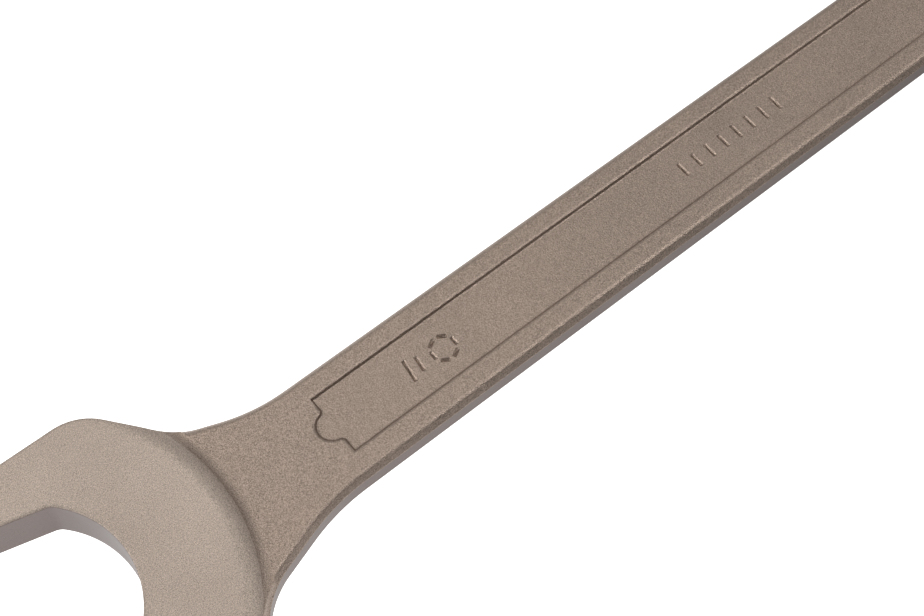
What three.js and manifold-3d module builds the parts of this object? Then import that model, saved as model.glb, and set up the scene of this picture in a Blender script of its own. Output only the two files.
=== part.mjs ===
// A large combination wrench as one drop forging: an open end at 15 degrees to the shank, a flat shank
// with a recessed panel on each face, and a twelve point ring end cranked up by 15 degrees.
// Millimetres, +Z up, lying flat on its lower pad face, with +X from the open end to the ring end.
import * as THREE from 'three';
import { mergeVertices } from 'three/addons/utils/BufferGeometryUtils.js';
import Module from 'manifold-3d';

const wasm = await Module();
wasm.setup();

// Driving dimensions.
const ACROSS_FLATS = 42.86; // the 1 11/16 inch nut
const PAD_THICKNESS = 14;
const SHANK_THICKNESS = 8.6;
const SHANK_WIDTH = 29.4; // at the open end, over the parting line
const SHANK_TAPER = 0.16; // degrees, each side
const JAW_TILT = 15; // degrees between the shank and the open end
const RING_TILT = 15; // degrees the ring end is cranked up
const CENTRE_DISTANCE = 372; // nut centre to nut centre, along the shank

// Values that follow from them.
const CORNERS = ACROSS_FLATS / Math.cos(Math.PI / 6) / 2;
const JAW_HALF_GAP = ACROSS_FLATS / 2 + 0.27;
const THROAT_RADIUS = CORNERS + 0.4;
const HALF_PAD = PAD_THICKNESS / 2;
const HALF_SHANK = SHANK_THICKNESS / 2;
const TRIM_HALF = 2.4; // half the height of the trimmed band around the parting line
const SHANK_DRAFT = 1.4; // how far the shank's edges slope in above the band
const PAD_DRAFT = 1.2;
const PAD_INSET = 0.3; // the pad's wall starts this far inside the trimmed band
const NUT_OFFSET = 5.2; // the open end's nut centre above the shank's centre line
const JAW_FILLET = 4; // between each flat and the throat
const JAW_REACH = 60; // how far the jaw's cutter runs out past the nut centre
const BROW_START = CORNERS + 21.3; // where the pad starts to round over towards the neck
const BROW_RUN = 4.7; // of the convex arc, down to where the step is steepest
const FOOT_RUN = 2.7; // of the hollow arc below it
const PRONG_SLOPE = 14; // degrees that the head's sides close in towards the jaw's mouth
const SHOULDER_SLOPE = 36.4; // degrees that they close in towards the neck
const RING_RADIUS = CORNERS + 6.9;
const RING_HEIGHT = 20;
const RING_CLEARANCE = 0.16; // on the ring's flats
const RING_WALL_RUN = 3; // how far the ring's edges slope in
const RING_WALL_DRAFT = 0.8;
const LEAD_IN = 4.5; // depth of the cone at each end of the ring's bore
const LEAD_MARGIN = 0.3; // the cone's mouth stands this far outside the twelve points
const CRANK_RADIUS = 60;
const NECK_RUN = 66; // from the start of the ring's neck to the ring's centre
const NECK_OVERLAP = 12; // how far the shank's blank runs on under the neck
const NECK_FLARE = 12;
const NECK_RISE = 3.4;
const PANEL_HALF_HEIGHT = 8.4;
const PANEL_START = 79;
const PANEL_END = 302;
const PANEL_DEPTH = 1;
const PANEL_DRAFT = 0.8;
const LOBE_RADIUS = 3.7;
const LOBE_FILLET = 1.4;
const LOBE_TIP = 4; // how far the lobe stands out from the panel's end
const SHANK_START = 80; // where the shank has its full width
const CURVE_STEPS = 8;

const rad = THREE.MathUtils.degToRad;
const JAW_CENTRE = new THREE.Vector2(0, NUT_OFFSET);

// A point or a heading given along and across the jaw's axis, in the plan of the whole tool.
function fromJaw(out, across) {
  const point = new THREE.Vector2(out, across);
  return point.rotateAround(new THREE.Vector2(), rad(-JAW_TILT)).add(JAW_CENTRE);
}

// One straight side of an outline: a point on it, the heading it runs in, and the radius at its start.
function side(point, heading, radius) {
  return { point, heading: rad(heading), radius };
}

function jawSide(out, across, heading, radius) {
  return side(fromJaw(out, across), heading - JAW_TILT, radius);
}

function along(heading) {
  return new THREE.Vector2(Math.cos(heading), Math.sin(heading));
}

function meet(a, b) {
  const da = along(a.heading);
  const db = along(b.heading);
  const gap = b.point.clone().sub(a.point);
  return a.point.clone().addScaledVector(da, gap.cross(db) / da.cross(db));
}

// The closed outline that runs along the sides in turn, with an arc where two sides meet.
function outline(sides) {
  const shape = new THREE.Shape();
  sides.forEach((next, index) => {
    const last = sides[(index + sides.length - 1) % sides.length];
    const change = next.heading - last.heading;
    const turn = Math.atan2(Math.sin(change), Math.cos(change));
    const way = Math.sign(turn);
    const reach = next.radius * Math.tan(Math.abs(turn) / 2);
    const start = meet(last, next).addScaledVector(along(last.heading), -reach);
    const normal = last.heading + (way * Math.PI) / 2;
    const centre = start.clone().addScaledVector(along(normal), next.radius);
    const first = normal + Math.PI;
    shape.absarc(centre.x, centre.y, next.radius, first, first + turn, way < 0);
  });
  return shape;
}

// The same outline as points, without the near-repeats where one curve ends and the next begins.
function traced(shape, steps) {
  const points = shape.getPoints(steps);
  const kept = points.filter((point, i) => point.distanceTo(points[(i + 1) % points.length]) > 1e-3);
  return new THREE.Shape(kept);
}

// The blank seen from above, over the parting line, as far as the ring end's neck. Its sides run
// round from the foot of the head's lower flank, along the shank and back, and over both prongs.
function blankOutline(endX) {
  const half = SHANK_WIDTH / 2;
  return outline([
    side(new THREE.Vector2(54.3, -19.2), 18, 22),
    side(new THREE.Vector2(SHANK_START, -half), SHANK_TAPER, 55),
    side(new THREE.Vector2(endX, 0), 90, 3),
    side(new THREE.Vector2(SHANK_START, half), 180 - SHANK_TAPER, 3),
    side(new THREE.Vector2(57.5, 18.5), 159, 45),
    jawSide(33.8, 36.3, 180 - SHOULDER_SLOPE, 20),
    jawSide(6, 37.5, 180 + PRONG_SLOPE, 15),
    jawSide(-22, 0, 270, 6),
    jawSide(6, -37.5, -PRONG_SLOPE, 6),
    jawSide(33.8, -36.3, SHOULDER_SLOPE, 15),
    jawSide(48.6, -18.8, 61, 26),
  ]);
}

function solid(geometry) {
  const bare = geometry.clone();
  for (const name of Object.keys(bare.attributes)) {
    if (name !== 'position') bare.deleteAttribute(name);
  }
  const merged = mergeVertices(bare, 1e-4);
  const mesh = new wasm.Mesh({
    numProp: 3,
    vertProperties: new Float32Array(merged.attributes.position.array),
    triVerts: new Uint32Array(merged.index.array),
  });
  return new wasm.Manifold(mesh);
}

// A plate centred on z = 0 whose edges slope in by `draft` outside the trimmed band.
function draftedPlate(shape, halfHeight, draft, inset) {
  const geometry = new THREE.ExtrudeGeometry(traced(shape, CURVE_STEPS), {
    depth: 2 * TRIM_HALF,
    bevelThickness: halfHeight - TRIM_HALF,
    bevelSize: draft,
    bevelOffset: -draft - inset,
    bevelSegments: 1,
  });
  return solid(geometry.translate(0, 0, -TRIM_HALF));
}

// A straight-walled cutter or blank, centred on z = 0.
function plate(shape, height) {
  const geometry = new THREE.ExtrudeGeometry(traced(shape, 3 * CURVE_STEPS), {
    depth: height,
    bevelEnabled: false,
  });
  return solid(geometry.translate(0, 0, -height / 2));
}

function turned(points, segments) {
  const geometry = new THREE.LatheGeometry(points.map(([r, z]) => new THREE.Vector2(r, z)), segments);
  return solid(geometry.rotateX(Math.PI / 2));
}

// The round boss behind the jaw: flat on top, rounded over its brow, and hollow at its foot.
function bossLimit() {
  const step = HALF_PAD - HALF_SHANK;
  const steepest = 2 * Math.atan(step / (BROW_RUN + FOOT_RUN));
  const brow = BROW_RUN / Math.sin(steepest);
  const foot = FOOT_RUN / Math.sin(steepest);
  const footEnd = BROW_START + BROW_RUN + FOOT_RUN;
  const steps = 6;
  const half = [[0, HALF_PAD]];
  for (let i = 0; i <= steps; i += 1) {
    const angle = (steepest * i) / steps;
    half.push([BROW_START + brow * Math.sin(angle), HALF_PAD - brow * (1 - Math.cos(angle))]);
  }
  for (let i = steps - 1; i >= 0; i -= 1) {
    const angle = (steepest * i) / steps;
    half.push([footEnd - foot * Math.sin(angle), HALF_SHANK + foot * (1 - Math.cos(angle))]);
  }
  half.push([footEnd, HALF_SHANK - 0.6]);
  const lower = half.map(([r, z]) => [r, -z]).reverse();
  return turned([...half, ...lower].reverse(), 108).translate([JAW_CENTRE.x, JAW_CENTRE.y, 0]);
}

// The slot between the jaw flats, closed by the throat's arc, with a fillet in each corner.
function jawCutter() {
  const across = JAW_HALF_GAP - JAW_FILLET;
  const out = Math.sqrt((THROAT_RADIUS - JAW_FILLET) ** 2 - across ** 2);
  const touch = Math.atan2(across, out);
  const shape = new THREE.Shape();
  shape.moveTo(-JAW_REACH, -JAW_HALF_GAP);
  shape.lineTo(out, -JAW_HALF_GAP);
  shape.absarc(out, -across, JAW_FILLET, -Math.PI / 2, -touch, false);
  shape.absarc(0, 0, THROAT_RADIUS, -touch, touch, false);
  shape.absarc(out, across, JAW_FILLET, touch, Math.PI / 2, false);
  shape.lineTo(-JAW_REACH, JAW_HALF_GAP);
  return plate(shape, 60).rotate([0, 0, -JAW_TILT]).translate([JAW_CENTRE.x, JAW_CENTRE.y, 0]);
}

// The panel's outline: a long rectangle with a round lobe at the middle of each end.
function panelShape() {
  const centre = PANEL_START - LOBE_TIP + LOBE_RADIUS;
  const away = centre - (PANEL_START - LOBE_FILLET);
  const lift = Math.sqrt((LOBE_RADIUS + LOBE_FILLET) ** 2 - away ** 2);
  const touch = Math.atan2(lift, -away);
  const mid = (PANEL_START + PANEL_END) / 2;
  const shape = new THREE.Shape();
  for (const end of [0, Math.PI]) {
    const place = (x, y) => new THREE.Vector2(x, y).rotateAround(new THREE.Vector2(mid, 0), end);
    const corner = place(PANEL_START, PANEL_HALF_HEIGHT);
    const upper = place(PANEL_START - LOBE_FILLET, lift);
    const lobe = place(centre, 0);
    const lower = place(PANEL_START - LOBE_FILLET, -lift);
    const foot = place(PANEL_START, -PANEL_HALF_HEIGHT);
    if (end === 0) shape.moveTo(corner.x, corner.y);
    else shape.lineTo(corner.x, corner.y);
    shape.lineTo(...place(PANEL_START, lift).toArray());
    shape.absarc(upper.x, upper.y, LOBE_FILLET, end, end + touch - Math.PI, true);
    shape.absarc(lobe.x, lobe.y, LOBE_RADIUS, end + touch, end - touch, false);
    shape.absarc(lower.x, lower.y, LOBE_FILLET, end + Math.PI - touch, end, true);
    shape.lineTo(foot.x, foot.y);
  }
  return shape;
}

function panelCutter() {
  const geometry = new THREE.ExtrudeGeometry(traced(panelShape(), CURVE_STEPS), {
    depth: 3,
    bevelThickness: PANEL_DEPTH,
    bevelSize: PANEL_DRAFT,
    bevelOffset: -PANEL_DRAFT,
    bevelSegments: 1,
  });
  return solid(geometry).translate([0, 0, HALF_SHANK]);
}

// The eight-sided section of the shank, at x, about the height z.
function section(x, z, halfWidth, halfHeight, draft) {
  const band = TRIM_HALF * (halfHeight / HALF_SHANK);
  const quarter = [[halfWidth, band], [halfWidth - draft, halfHeight]];
  const upper = [...quarter, ...quarter.map(([y, h]) => [-y, h]).reverse()];
  const ring = [...upper, ...upper.map(([y, h]) => [-y, -h])];
  return ring.map(([y, h]) => [x, y, z + h]);
}

// The closed skin over a run of sections with equal numbers of points.
function loft(sections) {
  const count = sections[0].length;
  const last = (sections.length - 1) * count;
  const index = [];
  for (let s = 0; s < sections.length - 1; s += 1) {
    for (let i = 0; i < count; i += 1) {
      const a = s * count + i;
      const b = s * count + ((i + 1) % count);
      index.push(a, b, a + count, b, b + count, a + count);
    }
  }
  for (let i = 1; i < count - 1; i += 1) {
    index.push(0, i + 1, i);
    index.push(last, last + i, last + i + 1);
  }
  const geometry = new THREE.BufferGeometry();
  geometry.setAttribute('position', new THREE.Float32BufferAttribute(sections.flat(2), 3));
  geometry.setIndex(index);
  return solid(geometry);
}

function ringCentre() {
  const drop = (RING_HEIGHT / 2) * Math.cos(rad(RING_TILT)) + RING_RADIUS * Math.sin(rad(RING_TILT));
  return [CENTRE_DISTANCE, 0, drop - HALF_PAD];
}

// The height of the cranked centre line at x: level, then an arc, then the slope of the ring.
function crankHeight(x) {
  const [ringX, , ringZ] = ringCentre();
  const slope = Math.tan(rad(RING_TILT));
  const bend = ringX - ringZ / slope;
  const reach = CRANK_RADIUS * Math.tan(rad(RING_TILT) / 2);
  const past = x - (bend - reach);
  if (past <= 0) return 0;
  if (past >= CRANK_RADIUS * Math.sin(rad(RING_TILT))) return (x - bend) * slope;
  return CRANK_RADIUS - Math.sqrt(CRANK_RADIUS ** 2 - past ** 2);
}

// The neck between the shank and the ring, widening and rising to meet the ring's mid-plane.
function ringNeck(startX) {
  const endX = CENTRE_DISTANCE - 22;
  const inside = 0.25; // keeps the neck's start just under the shank's skin
  const narrowing = (startX - SHANK_START) * Math.tan(rad(SHANK_TAPER));
  const halfAtStart = SHANK_WIDTH / 2 - narrowing - inside;
  const steps = 14;
  const sections = [];
  for (let i = 0; i <= steps; i += 1) {
    const share = i / steps;
    const x = THREE.MathUtils.lerp(startX, endX, share);
    const halfWidth = halfAtStart + NECK_FLARE * (1 - Math.sqrt(1 - 0.9 * share ** 2));
    const halfHeight = HALF_SHANK - inside + NECK_RISE * share ** 2;
    sections.push(section(x, crankHeight(x), halfWidth, halfHeight, SHANK_DRAFT));
  }
  return loft(sections);
}

function ringBlank() {
  const half = RING_HEIGHT / 2;
  const wall = half - RING_WALL_RUN;
  const upper = [
    [RING_RADIUS, TRIM_HALF],
    [RING_RADIUS - RING_WALL_DRAFT, wall],
    [RING_RADIUS - RING_WALL_RUN, half],
    [0, half],
  ];
  const lower = upper.map(([r, z]) => [r, -z]).reverse();
  return turned([...lower, ...upper], 72);
}

// The twelve point bore, two hexagons a twelfth of a turn apart, with a lead-in at each face.
function ringCutter() {
  const radius = (ACROSS_FLATS / 2 + RING_CLEARANCE) / Math.cos(Math.PI / 6);
  const prism = solid(new THREE.CylinderGeometry(radius, radius, 40, 6).rotateX(Math.PI / 2));
  const top = RING_HEIGHT / 2;
  const mouth = radius + LEAD_MARGIN;
  const cone = [
    [0, top - LEAD_IN],
    [mouth - LEAD_IN, top - LEAD_IN],
    [mouth + 1, top + 1],
    [0, top + 1],
  ];
  const lead = turned(cone, 72);
  return prism.add(prism.rotate([0, 0, 30])).add(lead).add(lead.mirror([0, 0, 1]));
}

function wrenchForging() {
  const neckStart = CENTRE_DISTANCE - NECK_RUN;
  const shape = blankOutline(neckStart + NECK_OVERLAP);
  const low = draftedPlate(shape, HALF_SHANK, SHANK_DRAFT, 0);
  const high = draftedPlate(shape, HALF_PAD, PAD_DRAFT, PAD_INSET).intersect(bossLimit());
  const panel = panelCutter();
  const placeRing = (body) => body.rotate([0, -RING_TILT, 0]).translate(ringCentre());
  const forging = low.add(high).add(ringNeck(neckStart)).add(placeRing(ringBlank()));
  const machined = forging.subtract(jawCutter()).subtract(placeRing(ringCutter()));
  return machined.subtract(panel).subtract(panel.mirror([0, 0, 1])).simplify(0.004);
}

function toMesh(name, body, look) {
  const { vertProperties, triVerts } = body.getMesh();
  const geometry = new THREE.BufferGeometry();
  geometry.setAttribute('position', new THREE.Float32BufferAttribute(vertProperties, 3));
  geometry.setIndex(Array.from(triVerts));
  geometry.computeBoundingBox();
  const box = geometry.boundingBox;
  geometry.translate(-(box.min.x + box.max.x) / 2, -(box.min.y + box.max.y) / 2, -box.min.z);
  const mesh = new THREE.Mesh(geometry, new THREE.MeshStandardMaterial(look));
  mesh.name = name;
  return mesh;
}

const group = new THREE.Group();
group.name = 'combination_wrench';
group.add(toMesh('wrench_forging', wrenchForging(), { color: 0xa3968a, roughness: 0.42, metalness: 0.9 }));

export default group;
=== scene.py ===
"""A drop-forged combination wrench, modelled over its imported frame, with its stage, lights and camera."""

from math import atan, atan2, cos, pi, radians, sin, sqrt, tan

import bpy
from mathutils import Matrix, Vector


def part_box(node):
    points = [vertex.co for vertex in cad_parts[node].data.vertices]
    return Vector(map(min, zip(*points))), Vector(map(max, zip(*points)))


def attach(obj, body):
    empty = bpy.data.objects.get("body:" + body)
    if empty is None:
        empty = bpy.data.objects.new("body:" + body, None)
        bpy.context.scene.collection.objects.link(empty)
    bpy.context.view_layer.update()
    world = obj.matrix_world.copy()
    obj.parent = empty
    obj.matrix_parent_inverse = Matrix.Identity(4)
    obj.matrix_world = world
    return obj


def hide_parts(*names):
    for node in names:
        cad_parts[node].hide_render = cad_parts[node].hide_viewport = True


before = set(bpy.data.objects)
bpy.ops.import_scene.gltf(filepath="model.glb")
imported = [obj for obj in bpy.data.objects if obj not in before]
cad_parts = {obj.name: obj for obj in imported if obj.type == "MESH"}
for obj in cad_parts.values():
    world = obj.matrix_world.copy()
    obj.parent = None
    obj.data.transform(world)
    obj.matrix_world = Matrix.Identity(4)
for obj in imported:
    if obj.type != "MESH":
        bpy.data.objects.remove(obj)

bl_info = {
    "name": "Combination Wrench",
    "version": (1, 0, 0),
    "blender": (4, 5, 0),
    "location": "View3D > Sidebar > Wrench",
    "description": "Models a forged combination wrench and the stage it lies on",
    "category": "Object",
}

MM = 0.001
PAD_THICKNESS = 14.0
TIP_REACH = 28.14  # from the jaw's tips to the open end's nut centre, along the shank
AXIS_RISE = 0.257  # the shank's centre line above the middle of the tool's width

# Where the modelling's origin, the open end's nut centre at the parting line, lies in the frame.
LOW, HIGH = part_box("wrench_forging")
JAW_X = LOW[0] + TIP_REACH * MM
AXIS_Y = (LOW[1] + HIGH[1]) / 2 + AXIS_RISE * MM
MIDDLE_Z = LOW[2] + PAD_THICKNESS / 2 * MM


# ---------------------------------------------------------------- settings


class WrenchSizes(bpy.types.PropertyGroup):
    """The driving dimensions of the forging, in millimetres where no unit is shown."""

    across_flats: bpy.props.FloatProperty(
        name="Across flats", description="Width of the nut that both ends fit, in mm", default=42.86
    )
    pad_thickness: bpy.props.FloatProperty(
        name="Pad thickness",
        description="Over the two ground faces of the open end, in mm",
        default=PAD_THICKNESS,
    )
    shank_thickness: bpy.props.FloatProperty(
        name="Shank thickness", description="Over the two flat faces of the shank, in mm", default=8.6
    )
    shank_width: bpy.props.FloatProperty(
        name="Shank width", description="Over the parting line, by the open end, in mm", default=29.4
    )
    centre_distance: bpy.props.FloatProperty(
        name="Centre distance",
        description="From nut centre to nut centre along the shank, in mm",
        default=372.0,
    )
    panel_depth: bpy.props.FloatProperty(
        name="Panel depth", description="How far the panels are sunk into the shank, in mm", default=1.0
    )
    jaw_tilt: bpy.props.FloatProperty(
        name="Jaw tilt",
        description="Angle of the open end to the shank",
        default=radians(15),
        subtype="ANGLE",
    )
    ring_tilt: bpy.props.FloatProperty(
        name="Ring tilt",
        description="Angle that the ring end is cranked up",
        default=radians(15),
        subtype="ANGLE",
    )
    shank_taper: bpy.props.FloatProperty(
        name="Shank taper",
        description="Angle of each side to the centre line",
        default=radians(0.16),
        subtype="ANGLE",
    )


class WrenchFinish(bpy.types.PropertyGroup):
    """The colours and roughness of the forging's faces and of the floor."""

    skin: bpy.props.FloatVectorProperty(
        name="Forged skin",
        description="Colour of the blasted skin",
        subtype="COLOR",
        size=3,
        default=(0.405, 0.322, 0.268),
    )
    ground: bpy.props.FloatVectorProperty(
        name="Ground face",
        description="Colour of the ground faces",
        subtype="COLOR",
        size=3,
        default=(0.525, 0.441, 0.379),
    )
    cut: bpy.props.FloatVectorProperty(
        name="Cut face",
        description="Colour of the broached and trimmed faces",
        subtype="COLOR",
        size=3,
        default=(0.2, 0.16, 0.148),
    )
    floor: bpy.props.FloatVectorProperty(
        name="Floor",
        description="Colour of the floor",
        subtype="COLOR",
        size=3,
        default=(0.4, 0.4, 0.4),
    )
    skin_roughness: bpy.props.FloatProperty(
        name="Skin roughness",
        description="Roughness of the blasted skin",
        default=0.42,
        min=0,
        max=1,
        subtype="FACTOR",
    )


# ---------------------------------------------------------------- outlines


def unit(angle):
    """The plane vector of length 1 at the angle."""
    return Vector((cos(angle), sin(angle)))


def softened(corners, steps, closed=True):
    """The polyline through corners (x, y, radius), with an arc of that radius at each one."""
    count = len(corners)
    points = []
    for i, (x, y, radius) in enumerate(corners):
        here = Vector((x, y))
        if radius == 0 or (not closed and i in (0, count - 1)):
            points.append(here)
            continue
        before = (here - Vector(corners[i - 1][:2])).normalized()
        after = (Vector(corners[(i + 1) % count][:2]) - here).normalized()
        turn = atan2(before.cross(after), before.dot(after))
        reach = radius * tan(abs(turn) / 2)
        side = Vector((-before.y, before.x)) * (1 if turn > 0 else -1)
        start = here - before * reach
        centre = start + side * radius
        first = atan2(-side.y, -side.x)
        points += [centre + unit(first + turn * k / steps) * radius for k in range(steps + 1)]
    return points


def crossing(one, other):
    """Where two straight sides (point, heading) meet."""
    a, heading_a = one
    b, heading_b = other
    da, db = unit(heading_a), unit(heading_b)
    return a + da * ((b - a).cross(db) / da.cross(db))


class Plan:
    """The tool's plan in millimetres, with the open end's nut centre at x = 0 and the shank along +X."""

    BAND = 2.4  # half the height of the trimmed band round the parting line
    SHANK_START = 80.0  # where the shank has its full width
    SHANK_DRAFT = 1.4  # how far the shank's edges slope in above the band
    BLANK_END = 54.0  # the shank's blank ends this far short of the ring's centre

    NUT_OFFSET = 5.2  # the open end's nut centre above the shank's centre line
    JAW_CLEARANCE = 0.27  # between the nut and each jaw flat
    JAW_FILLET = 4.0  # between each flat and the throat
    JAW_REACH = 60.0  # how far the jaw's slot runs out past the nut's centre
    THROAT_CLEARANCE = 0.4
    PAD_DRAFT = 1.2
    PAD_INSET = 0.3  # the pad's wall starts this far inside the trimmed band
    BROW_MARGIN = 21.3  # from the nut's corners to where the pad rounds over towards the neck
    BROW_RUN = 4.7  # of the convex arc, down to where the step is steepest
    FOOT_RUN = 2.7  # of the hollow arc below it

    PANEL_START = 79.0
    PANEL_END = 302.0
    PANEL_HALF = 8.05
    PANEL_RISE = 0.25  # the panel's middle above the shank's centre line
    PANEL_LIP = 0.9  # how far the rounded lip reaches out past the panel
    LOBE = 3.7
    LOBE_FILLET = 1.4
    LOBE_TIP = 4.0  # how far the lobe stands out from the panel's end

    RING_WALL = 6.9  # from the nut's corners to the outside of the ring
    RING_HEIGHT = 20.0
    RING_CLEARANCE = 0.16
    STAR_ROUNDING = 0.5
    LEAD_MARGIN = 1.9  # the lead-in's mouth stands this far outside the nut's corners
    LEAD_RUN = 4.5
    CRANK_RADIUS = 60.0
    NECK_START = 66.0  # the ring's neck runs from here to NECK_END, back from the ring's centre
    NECK_END = 22.0
    NECK_INSET = 0.1  # keeps the neck's start just under the shank's skin
    NECK_FLARE = 12.0
    NECK_RISE = 3.4

    def __init__(self, sizes):
        self.sizes = sizes
        self.corner = sizes.across_flats / 2 / cos(pi / 6)
        self.half_gap = sizes.across_flats / 2 + self.JAW_CLEARANCE
        self.throat = self.corner + self.THROAT_CLEARANCE
        self.brow_start = self.corner + self.BROW_MARGIN
        self.half_pad = sizes.pad_thickness / 2
        self.half_shank = sizes.shank_thickness / 2
        self.ring_radius = self.corner + self.RING_WALL
        self.nut = Vector((0, self.NUT_OFFSET))

    def from_jaw(self, along, across):
        """A point given along and across the jaw's axis."""
        tilt = self.sizes.jaw_tilt
        return self.nut + unit(-tilt) * along + unit(pi / 2 - tilt) * across

    def blank(self, grow):
        """The outline over the parting line as far as the ring's neck, moved outwards by grow."""
        end = self.sizes.centre_distance - self.BLANK_END
        half = self.sizes.shank_width / 2
        taper = self.sizes.shank_taper
        tilt = self.sizes.jaw_tilt
        prong = radians(14)
        shoulder = radians(36.4)
        # Each side is a point on it, its heading, and the radius of the corner where it starts.
        sides = [
            (Vector((54.3, -19.2)), radians(18), 22),
            (Vector((self.SHANK_START, -half)), taper, 55),
            (Vector((end, 0)), pi / 2, 3),
            (Vector((self.SHANK_START, half)), pi - taper, 3),
            (Vector((57.5, 18.5)), radians(159), 45),
            (self.from_jaw(33.8, 36.3), pi - shoulder - tilt, 20),
            (self.from_jaw(6, 37.5), pi + prong - tilt, 15),
            (self.from_jaw(-22, 0), 3 * pi / 2 - tilt, 6),
            (self.from_jaw(6, -37.5), -prong - tilt, 6),
            (self.from_jaw(33.8, -36.3), shoulder - tilt, 15),
            (self.from_jaw(48.6, -18.8), radians(61) - tilt, 26),
        ]
        moved = [(point - unit(heading + pi / 2) * grow, heading) for point, heading, _ in sides]
        corners = []
        for i, (_, heading, radius) in enumerate(sides):
            corner = crossing(moved[i - 1], moved[i])
            turn = sin(heading - sides[i - 1][1])
            corners.append((corner.x, corner.y, radius + (grow if turn > 0 else -grow)))
        return softened(corners, steps=20)

    def jaw(self, grow):
        """The slot between the jaw flats, closed by the throat's arc, with a fillet in each corner."""
        half = self.half_gap + grow
        throat = self.throat + grow
        fillet = self.JAW_FILLET + grow
        along = sqrt((throat - fillet) ** 2 - (half - fillet) ** 2)
        meet = atan2(half - fillet, along)
        corner = Vector((along, half - fillet))
        turn = pi / 2 - meet
        bends = 8
        sweeps = 56
        upper = [corner + unit(meet + turn * k / bends) * fillet for k in range(bends + 1)]
        arc = [unit(-meet + 2 * meet * k / sweeps) * throat for k in range(1, sweeps)]
        lower = [Vector((p.x, -p.y)) for p in reversed(upper)]
        mouth = -self.JAW_REACH
        points = [Vector((mouth, -half)), *lower, *arc, *upper, Vector((mouth, half))]
        return [self.from_jaw(*point) for point in points]

    def panel(self, grow):
        """The panel: a long rectangle with a round lobe at the middle of each end."""
        lobe = self.LOBE + grow
        fillet = self.LOBE_FILLET - grow
        edge = self.PANEL_START - grow
        centre = self.PANEL_START + self.LOBE - self.LOBE_TIP
        away = centre - (edge - fillet)
        lift = sqrt((lobe + fillet) ** 2 - away**2)
        touch = atan2(lift, -away)
        half = self.PANEL_HALF + grow
        bends = 10
        sweeps = 24
        upper = Vector((edge - fillet, lift))
        lower = Vector((edge - fillet, -lift))
        sweep = pi - touch
        swing = 2 * pi - 2 * touch
        end = [Vector((edge, half))]
        end += [upper + unit(-sweep * k / bends) * fillet for k in range(bends + 1)]
        end += [Vector((centre, 0)) + unit(touch + swing * k / sweeps) * lobe for k in range(1, sweeps)]
        end += [lower + unit(sweep - sweep * k / bends) * fillet for k in range(bends + 1)]
        end.append(Vector((edge, -half)))
        middle = (self.PANEL_START + self.PANEL_END) / 2
        far = [Vector((2 * middle - p.x, -p.y)) for p in end]
        return [p + Vector((0, self.PANEL_RISE)) for p in end + far]

    def star(self):
        """The twelve points of the ring end's bore."""
        outer = (self.sizes.across_flats / 2 + self.RING_CLEARANCE) / cos(pi / 6)
        inner = outer * cos(pi / 6) / cos(pi / 12)
        points = [unit(pi * k / 12) * (inner if k % 2 else outer) for k in range(24)]
        return softened([(*point, self.STAR_ROUNDING) for point in points], steps=3)

    def ring_centre(self):
        """The middle of the cranked ring, whose lowest edge is level with the lower pad face."""
        tilt = self.sizes.ring_tilt
        drop = self.RING_HEIGHT / 2 * cos(tilt) + self.ring_radius * sin(tilt)
        return Vector((self.sizes.centre_distance, 0, drop - self.half_pad))

    def crank_height(self, x):
        """The height of the centre line at x: level, then an arc, then the slope of the ring."""
        ring = self.ring_centre()
        tilt = self.sizes.ring_tilt
        bend = ring.x - ring.z / tan(tilt)
        along = x - bend + self.CRANK_RADIUS * tan(tilt / 2)
        if along <= 0:
            return 0
        if along >= self.CRANK_RADIUS * sin(tilt):
            return (x - bend) * tan(tilt)
        return self.CRANK_RADIUS - sqrt(self.CRANK_RADIUS**2 - along**2)


def circle(radius, steps, centre=(0, 0)):
    """A circle's points, anticlockwise."""
    return [Vector(centre) + unit(2 * pi * k / steps) * radius for k in range(steps)]


# ---------------------------------------------------------------- modelling


TINY = 1e-7  # metres, less than which counts as nothing


def only(piece):
    """Makes piece the one selected object."""
    if bpy.context.object and bpy.context.object.mode != "OBJECT":
        bpy.ops.object.mode_set(mode="OBJECT")
    bpy.ops.object.select_all(action="DESELECT")
    if piece:
        piece.select_set(True)
        bpy.context.view_layer.objects.active = piece


def select_faces(piece, test):
    """In edit mode afterwards, with just the faces that pass the test selected."""
    only(piece)
    bpy.ops.object.mode_set(mode="EDIT")
    bpy.ops.mesh.select_mode(type="FACE")
    bpy.ops.mesh.select_all(action="DESELECT")
    bpy.ops.object.mode_set(mode="OBJECT")
    for face in piece.data.polygons:
        face.select = test(face)
    bpy.ops.object.mode_set(mode="EDIT")


def flat_blank(name, outline, z):
    """A single face on the outline, at height z."""
    only(None)
    bpy.ops.mesh.primitive_circle_add(vertices=len(outline), radius=0.01, fill_type="NGON")
    piece = bpy.context.object
    piece.name = name
    for vertex, point in zip(piece.data.vertices, outline):
        vertex.co = (point.x * MM, point.y * MM, z * MM)
    piece.data.update()
    return piece


def draw_cap(piece, way, profile):
    """Draws the cap that faces up or down through the profile's (inset, height) points in turn."""
    select_faces(piece, lambda face: face.normal.z * way > 0.9 and len(face.vertices) > 4)
    for (inset, height), (next_inset, next_height) in zip(profile, profile[1:]):
        step = (next_inset - inset) * MM
        rise = (next_height - height) * MM
        if step < TINY:
            bpy.ops.mesh.extrude_region_move(TRANSFORM_OT_translate={"value": (0, 0, way * rise)})
        else:
            bpy.ops.mesh.inset(thickness=step, depth=rise, use_even_offset=True)
    bpy.ops.object.mode_set(mode="OBJECT")


def tidy_normals(piece):
    """Turns every face of the closed piece outwards."""
    only(piece)
    bpy.ops.object.mode_set(mode="EDIT")
    bpy.ops.mesh.select_all(action="SELECT")
    bpy.ops.mesh.normals_make_consistent(inside=False)
    bpy.ops.object.mode_set(mode="OBJECT")


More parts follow.
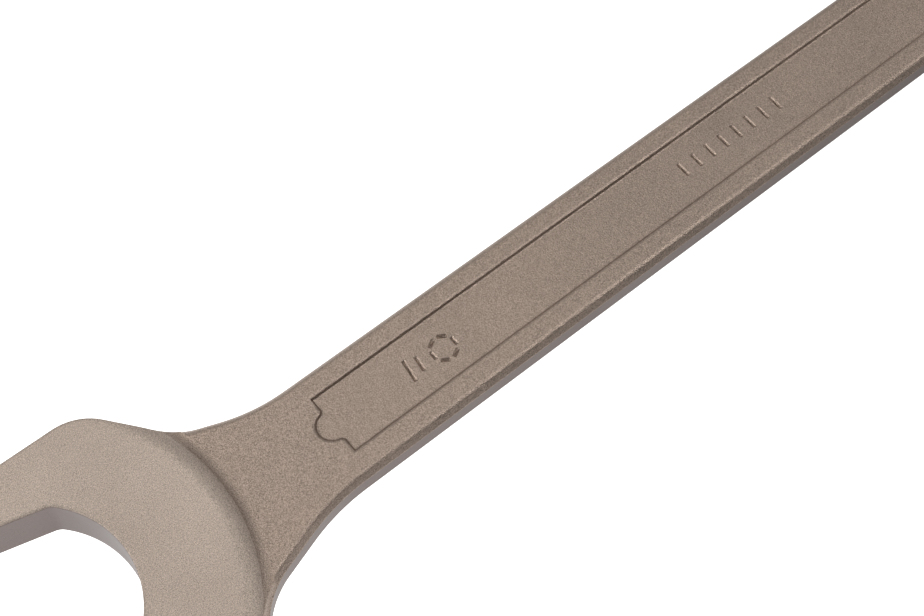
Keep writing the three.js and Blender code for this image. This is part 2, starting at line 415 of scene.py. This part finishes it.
def slab(name, outline, profile):
    """A solid about z = 0 whose two sides follow the (inset, height) profile, which starts at inset 0."""
    start = profile[0][1]
    piece = flat_blank(name, outline, -start)
    select_faces(piece, lambda face: True)
    bpy.ops.mesh.extrude_region_move(TRANSFORM_OT_translate={"value": (0, 0, 2 * start * MM)})
    bpy.ops.object.mode_set(mode="OBJECT")
    tidy_normals(piece)
    for way in (1, -1):
        draw_cap(piece, way, profile)
    tidy_normals(piece)
    return piece


def cutter(name, outline, top, profile):
    """A tool for cutting down from the height top, whose foot follows the (inset, height) profile."""
    piece = flat_blank(name, outline, top)
    select_faces(piece, lambda face: True)
    foot = profile[0][1]
    bpy.ops.mesh.extrude_region_move(TRANSFORM_OT_translate={"value": (0, 0, (foot - top) * MM)})
    bpy.ops.object.mode_set(mode="OBJECT")
    tidy_normals(piece)
    draw_cap(piece, -1, [(inset, -height) for inset, height in profile])
    tidy_normals(piece)
    return piece


def stack(name, outline, levels):
    """A solid that rises through the levels (grow, z), where each lies on the outline grown by that much."""
    (grow, z), *rest = levels
    here = outline(grow)
    piece = flat_blank(name, here, z)
    for grow, height in rest:
        select_faces(piece, lambda face: abs(face.center.z - z * MM) < TINY)
        bpy.ops.mesh.extrude_region_move(TRANSFORM_OT_translate={"value": (0, 0, (height - z) * MM)})
        bpy.ops.object.mode_set(mode="OBJECT")
        there = outline(grow)
        moved = {(round(a.x, 2), round(a.y, 2)): b for a, b in zip(here, there)}
        for vertex in piece.data.vertices:
            if vertex.select:
                target = moved[(round(vertex.co.x / MM, 2), round(vertex.co.y / MM, 2))]
                vertex.co.xy = target * MM
        here, z = there, height
    tidy_normals(piece)
    return piece


def upside_down(piece, name):
    """A copy of piece turned over through z = 0, as a mirror image."""
    only(piece)
    bpy.ops.object.duplicate()
    copy = bpy.context.object
    copy.name = name
    copy.scale.z = -1
    bpy.ops.object.transform_apply(location=False, rotation=False, scale=True)
    tidy_normals(copy)
    return copy


def flatten_faces(piece):
    """Splits every face into triangles, so that none is warped."""
    only(piece)
    bpy.ops.object.mode_set(mode="EDIT")
    bpy.ops.mesh.select_all(action="SELECT")
    bpy.ops.mesh.quads_convert_to_tris(quad_method="BEAUTY", ngon_method="BEAUTY")
    bpy.ops.object.mode_set(mode="OBJECT")


def combine(piece, tool, operation):
    """Joins tool to piece, cuts it away or keeps what they share, and uses the tool up."""
    flatten_faces(tool)
    flatten_faces(piece)
    modifier = piece.modifiers.new(operation.lower(), "BOOLEAN")
    modifier.operation = operation
    modifier.solver = "EXACT"
    modifier.material_mode = "TRANSFER"
    modifier.object = tool
    bpy.ops.object.modifier_apply(modifier=modifier.name)
    bpy.data.objects.remove(tool)


def tilt_to_ring(piece, plan):
    """Moves a piece modelled about the origin to the cranked ring end."""
    only(piece)
    piece.rotation_euler.y = -plan.sizes.ring_tilt
    piece.location = plan.ring_centre() * MM
    bpy.ops.object.transform_apply(location=True, rotation=True, scale=True)


def paint(piece, materials, pick):
    """Gives the piece the materials, and each face the one that pick chooses for it."""
    piece.data.materials.clear()
    for material in materials:
        piece.data.materials.append(material)
    for face in piece.data.polygons:
        face.material_index = pick(face)


# ---------------------------------------------------------------- materials


def socket(tree, name, way, default=None):
    """Gives the node group one number to take in or put out."""
    made = tree.interface.new_socket(name=name, in_out=way, socket_type="NodeSocketFloat")
    if default is not None:
        made.default_value = default


GRIT_FINENESS = 1.7  # how much finer the grit is than the dimples it lies over
GRIT_SHARE = 0.7  # how high the grit stands beside the dimples
NOISE_RANGE = (0.3, 0.7)  # where nearly all of a noise texture's values lie
STAIN_ROUGHNESS = 0.06  # how far the stains change the roughness


def grain_group():
    """A node group: the peened grain of blasted steel, with slow stains."""
    tree = bpy.data.node_groups.get("peened_grain")
    if tree:
        return tree
    tree = bpy.data.node_groups.new("peened_grain", "ShaderNodeTree")
    socket(tree, "Grain Scale", "INPUT", 1500.0)
    socket(tree, "Stain Scale", "INPUT", 45.0)
    for name in ("Height", "Stain", "Speckle"):
        socket(tree, name, "OUTPUT")
    nodes = tree.nodes
    links = tree.links
    inside = nodes.new("NodeGroupInput")
    outside = nodes.new("NodeGroupOutput")
    place = nodes.new("ShaderNodeTexCoord").outputs["Object"]

    def noise(detail, rough):
        node = nodes.new("ShaderNodeTexNoise")
        node.inputs["Detail"].default_value = detail
        node.inputs["Roughness"].default_value = rough
        links.new(place, node.inputs["Vector"])
        return node

    dimples = nodes.new("ShaderNodeTexVoronoi")
    dimples.feature = "SMOOTH_F1"
    links.new(place, dimples.inputs["Vector"])
    links.new(inside.outputs["Grain Scale"], dimples.inputs["Scale"])
    grit = noise(2.0, 0.6)
    finer = nodes.new("ShaderNodeMath")
    finer.operation = "MULTIPLY"
    finer.inputs[1].default_value = GRIT_FINENESS
    links.new(inside.outputs["Grain Scale"], finer.inputs[0])
    links.new(finer.outputs[0], grit.inputs["Scale"])
    height = nodes.new("ShaderNodeMath")
    height.operation = "MULTIPLY_ADD"
    height.inputs[1].default_value = GRIT_SHARE
    links.new(grit.outputs["Fac"], height.inputs[0])
    links.new(dimples.outputs["Distance"], height.inputs[2])
    stain = noise(5.0, 0.6)
    links.new(inside.outputs["Stain Scale"], stain.inputs["Scale"])
    links.new(height.outputs[0], outside.inputs["Height"])
    links.new(stain.outputs["Fac"], outside.inputs["Stain"])
    links.new(grit.outputs["Fac"], outside.inputs["Speckle"])
    return tree


def spread(tree, source, middle, swing):
    """Maps a noise output to middle, give or take swing."""
    node = tree.nodes.new("ShaderNodeMapRange")
    node.inputs["From Min"].default_value = NOISE_RANGE[0]
    node.inputs["From Max"].default_value = NOISE_RANGE[1]
    node.inputs["To Min"].default_value = middle - swing
    node.inputs["To Max"].default_value = middle + swing
    tree.links.new(source, node.inputs["Value"])
    return node.outputs["Result"]


def steel(name, colour, roughness, *, grain_scale, depth, stain, speckle):
    """Metal whose grain stands up by depth, in mm, and whose colour varies by stain and by speckle."""
    material = bpy.data.materials.new(name)
    material.use_nodes = True
    tree = material.node_tree
    nodes = tree.nodes
    links = tree.links
    shader = nodes["Principled BSDF"]
    shader.inputs["Metallic"].default_value = 1.0
    grain = nodes.new("ShaderNodeGroup")
    grain.node_tree = grain_group()
    grain.inputs["Grain Scale"].default_value = grain_scale
    product = nodes.new("ShaderNodeMath")
    product.operation = "MULTIPLY"
    links.new(spread(tree, grain.outputs["Stain"], 1, stain), product.inputs[0])
    links.new(spread(tree, grain.outputs["Speckle"], 1, speckle), product.inputs[1])
    tint = nodes.new("ShaderNodeVectorMath")
    tint.operation = "SCALE"
    tint.inputs[0].default_value = colour
    links.new(product.outputs[0], tint.inputs["Scale"])
    links.new(tint.outputs["Vector"], shader.inputs["Base Color"])
    dulled = spread(tree, grain.outputs["Stain"], roughness, STAIN_ROUGHNESS)
    links.new(dulled, shader.inputs["Roughness"])
    bump = nodes.new("ShaderNodeBump")
    bump.inputs["Distance"].default_value = depth * MM
    links.new(grain.outputs["Height"], bump.inputs["Height"])
    links.new(bump.outputs["Normal"], shader.inputs["Normal"])
    return material


# ---------------------------------------------------------------- the forging


# The forging's materials, in the order of their slots.
SKIN, GROUND, CUT = range(3)

BOSS_OVERLAP = 0.6  # how far the pad's round step runs down into the neck

# How steep a face may be for each finish, by how far its normal rises.
BAND_SLOPE = 0.1  # less on the trimmed band
NECK_BAND_SLOPE = 0.08  # less on the band of the ring's neck
GROUND_SLOPE = 0.74  # more on the ground pad, its brow and its broken edges
RING_FACE_SLOPE = 0.99  # more on the ring's faces


def edge_profile(corners, steps):
    """The (inset, height) profile of an edge that is rounded at its corners (inset, height, radius)."""
    inset, height, _ = corners[-1]
    line = [(0, 0, 0), *corners, (inset + 1, height, 0)]
    points = softened(line, steps, closed=False)[1:-1]
    return [(0, points[0].y), *[(point.x, point.y) for point in points[1:]]]


def body_solid(plan, materials):
    """The drafted shank, neck and head, as thick as the shank, with its trimmed band."""
    top = plan.half_shank
    profile = edge_profile([(0, plan.BAND, 0.5), (plan.SHANK_DRAFT, top, 1.8)], steps=8)
    piece = slab("wrench_forging_visual", plan.blank(0), profile)
    paint(piece, materials, lambda face: CUT if abs(face.normal.z) < BAND_SLOPE else SKIN)
    return piece


def pad_solid(plan, materials):
    """The thicker head, ground on both faces, with the rounded foot where it steps down to the neck."""
    top = plan.half_pad
    low = plan.half_shank
    wall = edge_profile([(0, plan.BAND, 0.5), (plan.PAD_DRAFT, top, 0.9)], steps=6)
    head = slab("head", plan.blank(-plan.PAD_INSET), wall)
    run = plan.BROW_RUN + plan.FOOT_RUN
    steepest = 2 * atan((top - low) / run)
    brow = plan.BROW_RUN / sin(steepest)
    foot = plan.FOOT_RUN / sin(steepest)
    steps = 12
    angles = [steepest * k / steps for k in range(steps + 1)]
    hollow = [(foot * sin(angle), low + foot * (1 - cos(angle))) for angle in angles]
    crown = [(run - brow * sin(angle), top - brow * (1 - cos(angle))) for angle in reversed(angles[:-1])]
    profile = [(0, low - BOSS_OVERLAP), *hollow, *crown]
    boss = slab("boss", circle(plan.brow_start + run, steps=288, centre=plan.nut), profile)
    combine(head, boss, "INTERSECT")
    brow_foot = (top - brow * (1 - cos(steepest))) * MM

    def is_ground(face):
        return abs(face.normal.z) > GROUND_SLOPE and abs(face.center.z) > brow_foot

    paint(head, materials, lambda face: GROUND if is_ground(face) else SKIN)
    return head


def neck_solid(plan, materials):
    """The neck that widens and rises from the shank to the ring."""
    start = plan.sizes.centre_distance - plan.NECK_START
    end = plan.sizes.centre_distance - plan.NECK_END
    narrowing = (start - plan.SHANK_START) * tan(plan.sizes.shank_taper)
    half = plan.sizes.shank_width / 2 - narrowing - plan.NECK_INSET
    high = plan.half_shank - plan.NECK_INSET
    flat = half - plan.SHANK_DRAFT
    band = plan.BAND
    corners = [(half, -band, 0.3), (half, band, 0.3), (flat, high, 1), (-flat, high, 1)]
    corners += [(-x, -y, radius) for x, y, radius in corners]
    section = softened(corners, steps=4)
    piece = flat_blank("neck", section, 0)
    for vertex, point in zip(piece.data.vertices, section):
        vertex.co = (start * MM, point.x * MM, point.y * MM)
    select_faces(piece, lambda face: True)
    steps = 22
    wide, tall, x, z = 1.0, 1.0, start, 0.0
    for i in range(1, steps + 1):
        share = i / steps
        next_x = start + (end - start) * share
        next_z = plan.crank_height(next_x)
        next_wide = 1 + plan.NECK_FLARE * (1 - sqrt(1 - 0.9 * share**2)) / half
        next_tall = 1 + plan.NECK_RISE * share**2 / high
        move = ((next_x - x) * MM, 0, (next_z - z) * MM)
        bpy.ops.mesh.extrude_region_move(TRANSFORM_OT_translate={"value": move})
        bpy.ops.transform.resize(
            value=(1, next_wide / wide, next_tall / tall), center_override=(next_x * MM, 0, next_z * MM)
        )
        wide, tall, x, z = next_wide, next_tall, next_x, next_z
    bpy.ops.object.mode_set(mode="OBJECT")
    tidy_normals(piece)
    paint(piece, materials, lambda face: CUT if abs(face.normal.z) < NECK_BAND_SLOPE else SKIN)
    return piece


def ring_solid(plan, materials):
    """The ring end's blank, ground on both faces."""
    top = plan.RING_HEIGHT / 2
    wall = edge_profile([(0, plan.BAND, 1), (0.9, top - 3, 3), (3.2, top, 1.2)], steps=6)
    piece = slab("ring", circle(plan.ring_radius, steps=160), wall)
    paint(piece, materials, lambda face: GROUND if abs(face.normal.z) > RING_FACE_SLOPE else SKIN)
    tilt_to_ring(piece, plan)
    return piece


def cut_jaw(piece, plan, materials):
    """Broaches the jaw, and breaks its edges with the grinding of the pad."""
    top = plan.half_pad
    # How far the slot opens out at each height: straight, then the broken edge, then clear of the face.
    edge = [(0, top - 0.6), (0.08, top - 0.4), (0.9, top + 0.02), (1, top + 1)]
    levels = [(grow, -z) for grow, z in reversed(edge)] + edge
    slot = stack("jaw_slot", plan.jaw, levels)
    paint(slot, materials, lambda face: GROUND if abs(face.normal.z) > GROUND_SLOPE else CUT)
    combine(piece, slot, "DIFFERENCE")


def cut_ring(piece, plan, materials):
    """Broaches the twelve points and bores their lead-ins."""
    top = plan.RING_HEIGHT / 2
    bore = slab("star", plan.star(), [(0, top + 2)])
    paint(bore, materials, lambda face: CUT)
    cone = [(0, top + 0.5), (plan.LEAD_RUN, top - 3.6)]
    lead = cutter("lead", circle(plan.corner + plan.LEAD_MARGIN, steps=120), top + 2, cone)
    paint(lead, materials, lambda face: CUT)
    lower = upside_down(lead, "lead_lower")
    for tool in (bore, lead, lower):
        tilt_to_ring(tool, plan)
        combine(piece, tool, "DIFFERENCE")


def cut_panels(piece, plan, materials):
    """Sinks the panel into both faces of the shank."""
    top = plan.half_shank
    floor = top - plan.sizes.panel_depth
    # The wall's rounded lip, by inset and drop from the face, and its hollow foot, by inset and rise.
    lip = [(0, 0.02), (0.1, -0.01), (0.28, -0.07), (0.46, -0.15), (0.6, -0.225), (0.7, -0.32), (0.86, -0.56)]
    foot = [(0.98, 0.25), (1.06, 0.16), (1.2, 0.08), (1.4, 0.025), (1.7, 0)]
    profile = [(inset, top + drop) for inset, drop in lip] + [(inset, floor + rise) for inset, rise in foot]
    panel = cutter("panel", plan.panel(plan.PANEL_LIP), top + 1, profile)
    paint(panel, materials, lambda face: SKIN)
    lower = upside_down(panel, "panel_lower")
    combine(piece, panel, "DIFFERENCE")
    combine(piece, lower, "DIFFERENCE")


STROKE_HALF_WIDTH = 0.6
STROKE_ROUNDING = 0.35
STROKE_DEPTH = 0.45
BAR_LEAN = radians(82)
NUT_MARK = Vector((110.8, -0.2))  # the middle of the stamped nut outline
NUT_MARK_RADIUS = 3.1
ROW_START = 186.5
ROW_PITCH = 4.4


def stroke_tool(middle, length, angle, face):
    """A punch for one stroke, with sloping walls, which sinks into the panel at the height face."""
    along = unit(angle) * length / 2
    across = unit(angle + pi / 2) * STROKE_HALF_WIDTH
    start = middle - along
    end = middle + along
    corners = [start + across, start - across, end - across, end + across]
    outline = softened([(*corner, STROKE_ROUNDING) for corner in corners], steps=3)
    wall = [(0, face + 0.04), (0.1, face - 0.04), (0.52, face - STROKE_DEPTH)]
    return cutter("stroke", outline, face + 0.5, wall)


def stamp_marks(piece, plan, materials):
    """Stamps a plain nut outline beside two bars, and a row of plain bars, into the upper panel."""
    face = plan.half_shank - plan.sizes.panel_depth
    # Each stroke is the middle of a straight groove, its length and its angle.
    strokes = [(Vector((101.0, 0.2)), 6.4, BAR_LEAN), (Vector((104.0, 0.2)), 4.4, BAR_LEAN)]
    turns = [pi * k / 3 for k in range(6)]
    strokes += [(NUT_MARK + unit(turn) * NUT_MARK_RADIUS, 2.6, turn + pi / 2) for turn in turns]
    strokes += [(Vector((ROW_START + ROW_PITCH * k, 0.8)), 4.4, pi / 2) for k in range(8)]
    tools = [stroke_tool(*stroke, face) for stroke in strokes]
    only(tools[0])
    for tool in tools:
        tool.select_set(True)
    bpy.ops.object.join()
    paint(tools[0], materials, lambda face: SKIN)
    combine(piece, tools[0], "DIFFERENCE")


WELD_DISTANCE = 2e-6  # in metres
FLAT_ANGLE = radians(0.05)  # faces that turn by less than this are made one
SMOOTH_ANGLE = radians(35)  # edges that turn by less than this are shaded smooth


def finish_forging(piece):
    """Puts the piece in its place over the frame and smooths its shading, keeping true flats flat."""
    only(piece)
    piece.location = (JAW_X, AXIS_Y, MIDDLE_Z)
    bpy.ops.object.transform_apply(location=True, rotation=True, scale=True)
    bpy.ops.object.mode_set(mode="EDIT")
    bpy.ops.mesh.select_all(action="SELECT")
    bpy.ops.mesh.remove_doubles(threshold=WELD_DISTANCE)
    bpy.ops.mesh.dissolve_limited(angle_limit=FLAT_ANGLE, delimit={"MATERIAL"})
    bpy.ops.object.mode_set(mode="OBJECT")
    bpy.ops.object.shade_smooth_by_angle(angle=SMOOTH_ANGLE)
    bpy.ops.object.modifier_add(type="WEIGHTED_NORMAL")
    weighted = piece.modifiers[-1]
    weighted.keep_sharp = True
    weighted.weight = 100
    bpy.ops.object.modifier_apply(modifier=weighted.name)


class WRENCH_OT_forging(bpy.types.Operator):
    """Forge, grind, broach and stamp the wrench"""

    bl_idname = "wrench.forging"
    bl_label = "Forging"

    def execute(self, context):
        plan = Plan(context.scene.wrench_sizes)
        finish = context.scene.wrench_finish
        rough = finish.skin_roughness
        skin = steel(
            "blasted_skin", finish.skin, rough,
            grain_scale=3100.0, depth=0.08, stain=0.07, speckle=0.6,
        )
        ground = steel(
            "ground_face", finish.ground, rough + 0.13,
            grain_scale=2600.0, depth=0.02, stain=0.02, speckle=0.45,
        )
        cut = steel(
            "cut_face", finish.cut, rough - 0.1,
            grain_scale=1900.0, depth=0.012, stain=0.04, speckle=0.08,
        )
        materials = [skin, ground, cut]
        piece = body_solid(plan, materials)
        for make in (pad_solid, neck_solid, ring_solid):
            combine(piece, make(plan, materials), "UNION")
        for work in (cut_jaw, cut_ring, cut_panels, stamp_marks):
            work(piece, plan, materials)
        finish_forging(piece)
        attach(piece, "root")
        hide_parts("wrench_forging")
        return {"FINISHED"}


# ---------------------------------------------------------------- the stage


CAMERA_PLACE = Vector((-18.09, -164.46, 412.01)) * MM  # from the open end's nut centre
CAMERA_AZIMUTH = radians(-39.28)
CAMERA_ELEVATION = radians(61.79)
CAMERA_LENS = 77.3

# Each light: its name, its place and aim in metres from the open end, its width, power and colour.
LIGHTS = (
    ("key", (0.1, 0.38, 0.9), (0, 0, 0), 0.5, 0.9, (1, 0.985, 0.96)),
    ("edge", (0.5, -0.45, 0.8), (0.15, 0, 0), 0.3, 1.8, (1, 1, 1)),
    ("side", (-0.85, 0.3, 0.38), (0.1, 0, 0), 0.35, 4.0, (1, 1, 1)),
)
SKY_AIM = Vector((0.25, 0.55, 0.80))  # towards the brightest of the sky
SKY_LEVELS = (0.02, 0.61)  # the sky's strength away from SKY_AIM and towards it
SKY_COLOUR = (1, 0.99, 0.98, 1)
FLOOR_SIZE = 6.0
GLOW_POOL_RUN = (0.03, 0.38)  # metres from the head over which the floor's painted pool of glowing light fades
GLOW_POOL_LEVELS = (0.85, 0.05)  # its strength before and after
FLOOR_WHITENING = 0.8  # added where the camera sees the floor


def floor_paper(colour, head):
    """Pale paper with a painted pool of glowing light, strongest under the head and fading away from it, and
    plain white to the camera.
    """
    paper = bpy.data.materials.new("floor_paper")
    paper.use_nodes = True
    nodes = paper.node_tree.nodes
    links = paper.node_tree.links
    shader = nodes["Principled BSDF"]
    shader.inputs["Base Color"].default_value = (*colour, 1)
    shader.inputs["Roughness"].default_value = 0.9
    shader.inputs["Specular IOR Level"].default_value = 0.1
    shader.inputs["Emission Color"].default_value = (1, 1, 1, 1)
    away = nodes.new("ShaderNodeVectorMath")
    away.operation = "DISTANCE"
    away.inputs[1].default_value = head
    links.new(nodes.new("ShaderNodeTexCoord").outputs["Object"], away.inputs[0])
    # The painted pool of light: the floor glows most near the head and less further away.
    glow_pool = nodes.new("ShaderNodeMapRange")
    glow_pool.inputs["From Min"].default_value = GLOW_POOL_RUN[0]
    glow_pool.inputs["From Max"].default_value = GLOW_POOL_RUN[1]
    glow_pool.inputs["To Min"].default_value = GLOW_POOL_LEVELS[0]
    glow_pool.inputs["To Max"].default_value = GLOW_POOL_LEVELS[1]
    links.new(away.outputs["Value"], glow_pool.inputs["Value"])
    path = nodes.new("ShaderNodeLightPath")
    glow = nodes.new("ShaderNodeMath")
    glow.operation = "MULTIPLY_ADD"
    glow.inputs[1].default_value = FLOOR_WHITENING
    links.new(path.outputs["Is Camera Ray"], glow.inputs[0])
    links.new(glow_pool.outputs["Result"], glow.inputs[2])
    links.new(glow.outputs[0], shader.inputs["Emission Strength"])
    return paper


def studio_world():
    """A soft tent of light, brightest above and behind the head, and plain white to the camera."""
    world = bpy.data.worlds.new("studio")
    world.use_nodes = True
    nodes = world.node_tree.nodes
    links = world.node_tree.links
    place = nodes.new("ShaderNodeTexCoord")
    facing = nodes.new("ShaderNodeVectorMath")
    facing.operation = "DOT_PRODUCT"
    facing.inputs[1].default_value = SKY_AIM
    links.new(place.outputs["Generated"], facing.inputs[0])
    level = nodes.new("ShaderNodeMapRange")
    level.inputs["From Min"].default_value = -0.3
    level.inputs["From Max"].default_value = 1.0
    level.inputs["To Min"].default_value = SKY_LEVELS[0]
    level.inputs["To Max"].default_value = SKY_LEVELS[1]
    links.new(facing.outputs["Value"], level.inputs["Value"])
    path = nodes.new("ShaderNodeLightPath")
    seen = nodes.new("ShaderNodeMix")
    seen.inputs["B"].default_value = 1.0
    links.new(path.outputs["Is Camera Ray"], seen.inputs["Factor"])
    links.new(level.outputs["Result"], seen.inputs["A"])
    links.new(seen.outputs["Result"], nodes["Background"].inputs["Strength"])
    nodes["Background"].inputs["Color"].default_value = SKY_COLOUR
    return world


def add_light(name, place, aim, size, power, colour):
    """A round soft light at place, turned to face aim."""
    only(None)
    bpy.ops.object.light_add(type="AREA", location=place)
    light = bpy.context.object
    light.name = name
    light.data.shape = "DISK"
    light.data.size = size
    light.data.energy = power
    light.data.color = colour
    light.rotation_euler = (aim - place).to_track_quat("-Z", "Y").to_euler()


def add_camera(head):
    """The camera, which looks down on the open end."""
    level = cos(CAMERA_ELEVATION)
    back = Vector((sin(CAMERA_AZIMUTH) * level, -cos(CAMERA_AZIMUTH) * level, sin(CAMERA_ELEVATION)))
    right = Vector((cos(CAMERA_AZIMUTH), sin(CAMERA_AZIMUTH), 0))
    up = back.cross(right)
    only(None)
    bpy.ops.object.camera_add()
    camera = bpy.context.object
    camera.name = "camera"
    camera.data.lens = CAMERA_LENS
    camera.data.sensor_width = 36
    camera.data.sensor_fit = "HORIZONTAL"
    camera.data.clip_start = 0.01
    turn = Matrix((right, up, back)).transposed().to_4x4()
    camera.matrix_world = Matrix.Translation(head + CAMERA_PLACE) @ turn
    return camera


class WRENCH_OT_stage(bpy.types.Operator):
    """Lay the floor and set the lights and the camera"""

    bl_idname = "wrench.stage"
    bl_label = "Stage"

    def execute(self, context):
        only(None)
        bpy.ops.mesh.primitive_plane_add(size=FLOOR_SIZE, location=(0, 0, 0))
        floor = bpy.context.object
        floor.name = "floor"
        head = Vector((JAW_X, AXIS_Y, MIDDLE_Z))
        floor.data.materials.append(floor_paper(context.scene.wrench_finish.floor, head))
        context.scene.world = studio_world()
        for name, place, aim, size, power, colour in LIGHTS:
            add_light(name, head + Vector(place), head + Vector(aim), size, power, colour)
        context.scene.camera = add_camera(head)
        context.scene.view_settings.view_transform = "Standard"
        return {"FINISHED"}


# ---------------------------------------------------------------- add-on


class VIEW3D_PT_wrench(bpy.types.Panel):
    """Lists the wrench's makers and settings."""

    bl_space_type = "VIEW_3D"
    bl_region_type = "UI"
    bl_category = "Wrench"
    bl_label = "Combination Wrench"

    def draw(self, context):
        layout = self.layout
        for group in (context.scene.wrench_sizes, context.scene.wrench_finish):
            for name in group.__annotations__:
                layout.prop(group, name)
        layout.operator(WRENCH_OT_forging.bl_idname)
        layout.operator(WRENCH_OT_stage.bl_idname)


CLASSES = (WrenchSizes, WrenchFinish, WRENCH_OT_forging, WRENCH_OT_stage, VIEW3D_PT_wrench)


def register():
    for each in CLASSES:
        bpy.utils.register_class(each)
    bpy.types.Scene.wrench_sizes = bpy.props.PointerProperty(type=WrenchSizes)
    bpy.types.Scene.wrench_finish = bpy.props.PointerProperty(type=WrenchFinish)


def unregister():
    del bpy.types.Scene.wrench_finish
    del bpy.types.Scene.wrench_sizes
    for each in reversed(CLASSES):
        bpy.utils.unregister_class(each)


def main():
    """Builds the stage and the wrench over the frame."""
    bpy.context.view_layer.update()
    register()
    bpy.ops.wrench.stage()
    bpy.ops.wrench.forging()


if __name__ == "__main__":
    main()
